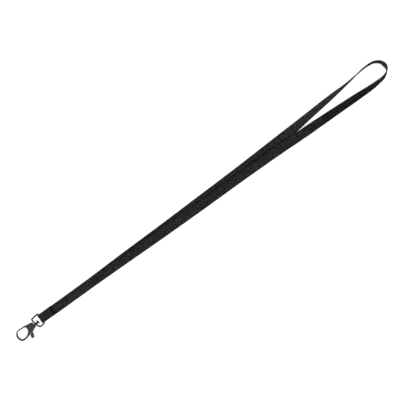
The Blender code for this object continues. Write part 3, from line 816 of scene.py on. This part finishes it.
def strap_sections(settings):
    half = settings.width / 2 / MM
    thick = settings.thickness / MM
    crown = settings.crown / MM
    fold = fold_stations(thick)
    stations = fold + run_stations(half, thick)
    last = len(stations) - 1
    out = []
    for i, (point, lean) in enumerate(stations):
        ahead = stations[min(i + 1, last)][0] - stations[max(i - 1, 0)][0]
        ahead.normalize()
        if i < len(fold) - 1:
            wide = Vector((0, 1, 0))
        else:
            level = Vector((-ahead.y, ahead.x, 0)).normalized()
            wide = level * math.cos(lean) + Vector((0, 0, math.sin(lean)))
        wide = (wide - ahead * wide.dot(ahead)).normalized()
        over = ahead.cross(wide)
        width = strap_half_width(point.x, half)
        width += WIDTH_WANDER * noise.noise(point * WANDER_RATE)
        press = seam_press(point.x) if i <= TAIL_STEPS else 0.0
        high = thick * (1 - SEAM_FLATTEN * press)
        from_end = min(i, last - i)
        if from_end == 0:
            high *= CUT_THINNESS
            width -= CUT_DRAW_IN
        elif from_end == 1:
            high *= NEXT_THINNESS
        bead = SELVEDGE_BEAD + OPEN_SELVEDGE_BEAD * math.sin(lean) ** 2
        outline = strap_section(width, high, crown, bead)
        out.append([point + wide * a + over * b for a, b in outline])
    return out


class LANYARD_OT_strap(bpy.types.Operator):
    """Make the woven strap from its sewn tail round the loop and back"""

    bl_idname = "lanyard.strap"
    bl_label = "Woven strap"

    def execute(self, context):
        settings = context.scene.lanyard_strap
        bm = bmesh.new()
        length = rolled_grid(bm, strap_sections(settings)) * MM
        close_ends(bm)
        materials = [webbing_material(settings), sealed_end_material(settings)]
        for face in bm.faces:
            if len(face.verts) > 4:
                face.material_index = 1
        strap = finish_piece(
            "woven_strap", bm, strap_to_world(), materials, "strap",
            ["neck_strap"], angle=60,
        )
        return {"FINISHED"}


# ---------------------------------------------------------------- stitching
def stitch_row(bm, settings, surface, outward, radius):
    """One zigzag row; each stitch rises from a needle hole and dives into the next."""
    count = round(2 * SEAM_HALF / (settings.pitch / MM))
    swing = settings.swing / MM / 2
    holes = []
    for i in range(count + 1):
        y = FOLD_SIDE - SEAM_HALF + 2 * SEAM_HALF * i / count
        holes.append(Vector((SEAM_X + swing * (-1) ** i, y, 0)))
    turns = [2 * math.pi * k / THREAD_SIDES for k in range(THREAD_SIDES)]
    for a, b in zip(holes, holes[1:]):
        points = []
        for t, rise in STITCH_ARCH:
            point = a.lerp(b, t)
            point.z = surface + outward * rise * radius
            points.append(point)
        sections = []
        for point, (side, over) in zip(points, frames_along(points)):
            sections.append([
                point + (side * math.cos(angle) + over * math.sin(angle)) * radius
                for angle in turns
            ])
        rolled_grid(bm, sections)
    close_ends(bm)


class LANYARD_OT_stitching(bpy.types.Operator):
    """Make the zigzag row of stitches on the top and on the underside"""

    bl_idname = "lanyard.stitching"
    bl_label = "Stitching"

    def execute(self, context):
        settings = context.scene.lanyard_stitch
        thick = context.scene.lanyard_strap.thickness / MM
        thread = thread_material(settings)
        radius = settings.thread / MM / 2
        top = FOLD_RAISE + 3 * thick + 2 * LAYER_GAP - NEEDLE_SINK
        under = FOLD_RAISE - BOBBIN_SINK
        rows = (
            ("needle_stitches", "seam_needle_thread", top, 1, radius),
            ("bobbin_stitches", "seam_bobbin_thread", under, -1,
             radius * BOBBIN_THINNESS),
        )
        for name, node, surface, outward, thread_radius in rows:
            bm = bmesh.new()
            stitch_row(bm, settings, surface, outward, thread_radius)
            finish_piece(
                name, bm, strap_to_world(), [thread], "strap", [node],
            )
        return {"FINISHED"}


# ---------------------------------------------------------------- metal
def node_copy(name):
    """A frame node's welded mesh in millimetres."""
    bm = bmesh.new()
    bm.from_mesh(frame["nodes"][name].data)
    bmesh.ops.remove_doubles(bm, verts=bm.verts, dist=1e-7)
    bmesh.ops.scale(bm, vec=(1 / MM,) * 3, verts=bm.verts)
    return bm


def cast_copy(node, voxel, passes, regain, detail=None):
    """A frame node's shape as a fine mesh with softly rounded edges.

    The copy is welded, rebuilt in small even faces, eased, and brought back out
    by what the easing took off.
    """
    bm = node_copy(node)
    mesh = bpy.data.meshes.new(node + "_work")
    bm.to_mesh(mesh)
    bm.free()
    work = add_object(node + "_work", mesh)
    remesh = work.modifiers.new("Even faces", "REMESH")
    remesh.mode = "VOXEL"
    remesh.voxel_size = voxel
    remesh.adaptivity = 0.0
    depsgraph = bpy.context.evaluated_depsgraph_get()
    even = bpy.data.meshes.new_from_object(work.evaluated_get(depsgraph))
    bpy.data.objects.remove(work, do_unlink=True)
    bm = bmesh.new()
    bm.from_mesh(even)
    bpy.data.meshes.remove(even)
    if not bm.faces:
        raise RuntimeError("the even copy of " + node + " came out empty")
    for _ in range(passes):
        bmesh.ops.smooth_vert(
            bm, verts=bm.verts, factor=0.5, use_axis_x=True, use_axis_y=True,
            use_axis_z=True,
        )
    bm.normal_update()
    moves = []
    for vert in bm.verts:
        moves.append(vert.normal * regain + (detail(vert) if detail else Vector()))
    for vert, move in zip(bm.verts, moves):
        vert.co += move
    return bm


def swell(amount, *others):
    """Widening of a casting in plan, easing to nothing beside the other nodes."""
    trees = []
    for name in others:
        bm = node_copy(name)
        trees.append(BVHTree.FromBMesh(bm))
        bm.free()

    def move(vert):
        near = min(tree.find_nearest(vert.co)[3] for tree in trees)
        share = min(max((near - SWELL_NOTHING) / SWELL_EASE, 0.0), 1.0)
        return Vector((vert.normal.x, vert.normal.y, 0)) * (amount * share)

    return move


def put_in_order(bm):
    """Order a mesh by place, because spin gives its faces in no fixed order."""
    def place(element):
        corners = getattr(element, "verts", [element])
        middle = sum((vert.co for vert in corners), Vector()) / len(corners)
        return [round(c, 3) for c in middle]

    for elements in (bm.verts, bm.edges, bm.faces):
        for i, element in enumerate(sorted(elements, key=place)):
            element.index = i
        elements.sort()


def spun(profile, segments=48):
    """A turned piece about X: the profile's points are distance and radius."""
    bm = bmesh.new()
    verts = [bm.verts.new((x, 0, r)) for x, r in profile]
    edges = [bm.edges.new(pair) for pair in zip(verts, verts[1:])]
    bmesh.ops.spin(
        bm, geom=verts + edges, axis=(1, 0, 0), cent=(0, 0, 0), dvec=(0, 0, 0),
        angle=2 * math.pi, steps=segments, use_merge=True, use_duplicate=False,
    )
    bmesh.ops.remove_doubles(bm, verts=bm.verts, dist=1e-4)
    put_in_order(bm)
    return bm


class LANYARD_OT_ring(bpy.types.Operator):
    """Make the wire ring with the tubular boss that holds the rivet"""

    bl_idname = "lanyard.ring"
    bl_label = "Swivel ring"

    def execute(self, context):
        metal = context.scene.lanyard_metal
        others = ("neck_strap", "swivel_rivet", "hook_body")
        bm = cast_copy(
            "swivel_ring", voxel=0.085, passes=10, regain=0.03,
            detail=swell(RING_SWELL, *others),
        )
        # The ring wire's plating is painted darkest: painted shade on the thin wire.
        plating = plated_material(
            "plated_wire", metal, tone_and_painted_shade=0.14, ripple=0.006, wear=0.1,
        )
        finish_piece(
            "ring_wire", bm, Matrix.Identity(4), [plating], "ring",
            ["swivel_ring"],
        )
        return {"FINISHED"}


class LANYARD_OT_rivet(bpy.types.Operator):
    """Make the headed rivet that the hook turns on"""

    bl_idname = "lanyard.rivet"
    bl_label = "Swivel rivet"

    def execute(self, context):
        metal = context.scene.lanyard_metal
        bm = spun(RIVET_PROFILE)
        plating = plated_material(
            "plated_rivet_steel", metal, tone_and_painted_shade=0.32, ripple=0.005, wear=0.1,
        )
        finish_piece(
            "headed_rivet", bm, clasp_to_world(), [plating], "hook",
            ["swivel_rivet"],
        )
        return {"FINISHED"}


class LANYARD_OT_hook(bpy.types.Operator):
    """Make the cast hook: neck, slotted plate and the arm round its eye"""

    bl_idname = "lanyard.hook"
    bl_label = "Hook body"

    def execute(self, context):
        metal = context.scene.lanyard_metal
        others = ("trigger_lever", "swivel_ring", "pivot_pin")
        bm = cast_copy(
            "hook_body", voxel=0.1, passes=9, regain=0.025,
            detail=swell(HOOK_SWELL, *others),
        )
        plating = plated_material(
            "plated_casting", metal, tone_and_painted_shade=0.5, ripple=0.014, wear=0.5, parting=True,
        )
        finish_piece(
            "hook_casting", bm, Matrix.Identity(4), [plating], "hook",
            ["hook_body"],
        )
        pin = cast_copy("pivot_pin", voxel=0.05, passes=6, regain=0.01)
        plating = plated_material(
            "plated_pin_steel", metal, tone_and_painted_shade=1.05, ripple=0.006, wear=0.7,
        )
        finish_piece(
            "peened_pin", pin, Matrix.Identity(4), [plating], "hook",
            ["pivot_pin"],
        )
        return {"FINISHED"}


def thumb_grooves():
    """Shallow grip grooves pressed across the thumb tab's outer end."""
    to_pivot = pivot_to_world().inverted()

    def move(vert):
        along = TAB_DIRECTION.dot(to_pivot @ vert.co)
        if along < GROOVES_FROM or along > GROOVES_TO:
            return Vector()
        inside = min(along - GROOVES_FROM, GROOVES_TO - along)
        fade = min(1.0, inside / GROOVE_EASE)
        turns = (along - GROOVES_FROM) / GROOVE_PITCH
        wave = 0.5 - 0.5 * math.cos(turns * 2 * math.pi)
        return vert.normal * (-GROOVE_DEPTH * wave * fade * abs(vert.normal.z))

    return move


class LANYARD_OT_lever(bpy.types.Operator):
    """Make the thumb lever with its gate, and give the spring its material"""

    bl_idname = "lanyard.lever"
    bl_label = "Thumb lever and spring"

    def execute(self, context):
        metal = context.scene.lanyard_metal
        bm = cast_copy(
            "trigger_lever", voxel=0.085, passes=8, regain=0.02,
            detail=thumb_grooves(),
        )
        plating = plated_material(
            "plated_lever", metal, tone_and_painted_shade=0.6, ripple=0.01, wear=0.5, parting=True,
        )
        finish_piece(
            "thumb_lever", bm, Matrix.Identity(4), [plating], "lever",
            ["trigger_lever"],
        )
        spring = frame["nodes"]["gate_spring"]
        spring.data.materials.clear()
        spring.data.materials.append(spring_material(metal))
        return {"FINISHED"}


# ---------------------------------------------------------------- studio
def area_light(name, location, size, power):
    """A large soft light that faces the middle of the floor."""
    light = bpy.data.lights.new(name, "AREA")
    light.shape = "RECTANGLE"
    light.size, light.size_y = size
    light.energy = power
    obj = add_object(name, light)
    obj.location = location
    aim = -Vector(location)
    obj.rotation_euler = aim.to_track_quat("-Z", "Y").to_euler()


def sky_world(strength):
    """Even overhead light that falls off to dark at the horizon."""
    world = bpy.data.worlds.new("studio")
    world.use_nodes = True
    nodes, links = world.node_tree.nodes, world.node_tree.links
    back = nodes["Background"]
    back.inputs["Strength"].default_value = strength
    split = nodes.new("ShaderNodeSeparateXYZ")
    links.new(nodes.new("ShaderNodeTexCoord").outputs["Generated"], split.inputs[0])
    sky = nodes.new("ShaderNodeValToRGB")
    links.new(split.outputs["Z"], sky.inputs["Fac"])
    sky.color_ramp.interpolation = "EASE"
    for stop, (height, grey) in zip(sky.color_ramp.elements, SKY):
        stop.position = height
        stop.color = (grey, grey, grey, 1)
    links.new(sky.outputs["Color"], back.inputs["Color"])
    return world


def floor_material(stage):
    """Pale matt sweep that glows a little, so shadows on it stay faint."""
    sh = Shader("pale_floor")
    place = sh.object_place()
    grain = sh.noise(place, 60.0, 3.0)
    colour = sh.blend(sh.ramp(grain, 0.3, 0.7), tuple(stage.floor),
                      tuple(c * 0.985 for c in stage.floor))
    return sh.finish(
        Base_Color=colour, Roughness=0.9, Normal=sh.bump(grain, 0.2 * MM, 0.1),
        Emission_Color=(1, 1, 1, 1), Emission_Strength=stage.glow,
        Specular_IOR_Level=0.1,
    )


class LANYARD_OT_stage(bpy.types.Operator):
    """Make the floor, the lights, the world and the camera"""

    bl_idname = "lanyard.stage"
    bl_label = "Studio"

    def execute(self, context):
        stage = context.scene.lanyard_stage
        bm = bmesh.new()
        bmesh.ops.create_grid(bm, x_segments=4, y_segments=4, size=FLOOR_HALF)
        mesh = bpy.data.meshes.new("floor")
        bm.to_mesh(mesh)
        bm.free()
        mesh.materials.append(floor_material(stage))
        floor = add_object("floor", mesh)
        floor.location.z = -FLOOR_DROP
        floor.visible_glossy = False

        area_light("key_light", KEY_PLACE, KEY_SIZE, stage.key)
        area_light("side_light", SIDE_PLACE, SIDE_SIZE, stage.key * SIDE_SHARE)
        context.scene.world = sky_world(stage.fill)

        camera_data = bpy.data.cameras.new("camera")
        camera_data.lens = LENS_MM
        camera_data.sensor_width = SENSOR_MM
        camera = add_object("camera", camera_data)
        away = stage.view_width * camera_data.lens / camera_data.sensor_width
        camera.location = (*VIEW_CENTRE, away)
        camera.rotation_euler = (0, 0, stage.turn)
        camera_data.clip_start = 0.05
        camera_data.clip_end = 60.0
        context.scene.camera = camera
        context.scene.view_settings.view_transform = "Standard"
        return {"FINISHED"}


# ---------------------------------------------------------------- add-on
OPERATORS = (
    LANYARD_OT_stage,
    LANYARD_OT_strap,
    LANYARD_OT_stitching,
    LANYARD_OT_ring,
    LANYARD_OT_rivet,
    LANYARD_OT_hook,
    LANYARD_OT_lever,
)
SETTINGS = (
    ("lanyard_strap", StrapSettings),
    ("lanyard_stitch", StitchSettings),
    ("lanyard_metal", MetalSettings),
    ("lanyard_stage", StageSettings),
)


class LANYARD_PT_tools(bpy.types.Panel):
    """Settings and steps of the lanyard"""

    bl_label = "Neck lanyard"
    bl_idname = "LANYARD_PT_tools"
    bl_space_type = "VIEW_3D"
    bl_region_type = "UI"
    bl_category = "Lanyard"

    def draw(self, context):
        for operator in OPERATORS:
            self.layout.operator(operator.bl_idname)
        for name, group in SETTINGS:
            box = self.layout.box()
            for key in group.__annotations__:
                box.prop(getattr(context.scene, name), key)


def register():
    for name, group in SETTINGS:
        bpy.utils.register_class(group)
        setattr(bpy.types.Scene, name, PointerProperty(type=group))
    for cls in (*OPERATORS, LANYARD_PT_tools):
        bpy.utils.register_class(cls)


def unregister():
    for cls in (LANYARD_PT_tools, *reversed(OPERATORS)):
        bpy.utils.unregister_class(cls)
    for name, group in reversed(SETTINGS):
        delattr(bpy.types.Scene, name)
        bpy.utils.unregister_class(group)


def main():
    register()
    for operator in OPERATORS:
        group, name = operator.bl_idname.split(".")
        getattr(getattr(bpy.ops, group), name)()


if __name__ == "__main__":
    main()
